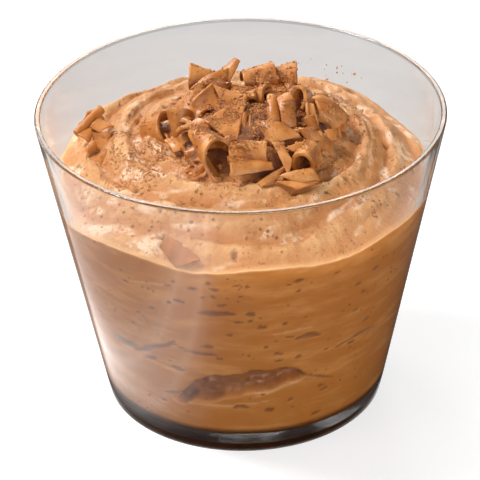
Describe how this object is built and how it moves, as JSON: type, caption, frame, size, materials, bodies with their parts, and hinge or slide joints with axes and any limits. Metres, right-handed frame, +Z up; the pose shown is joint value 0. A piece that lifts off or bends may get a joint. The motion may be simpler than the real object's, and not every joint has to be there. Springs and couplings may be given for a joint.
{
  "type": "chocolate mousse in a tumbler",
  "caption": "Chocolate mousse filling a clear tapered tumbler, with a swirled mound topped by milk-chocolate curls.",
  "frame": {"origin": "middle of the tumbler's foot, on the surface it stands on", "axes": "+Z up along the tumbler's axis, -Y towards the shown front, +X to the right of the shown front"},
  "size_m": [0.09, 0.09, 0.0751],
  "materials": {
    "clear_glass": "clear and polished",
    "milk_chocolate_mousse": "soft and airy",
    "milk_chocolate": "satin"
  },
  "bodies": {
    "root": {"tumbler": "clear_glass", "mousse": "milk_chocolate_mousse", "curl_heap": "milk_chocolate", "curl_cluster": "milk_chocolate", "wall_shaving": "milk_chocolate"}
  },
  "joints": []
}
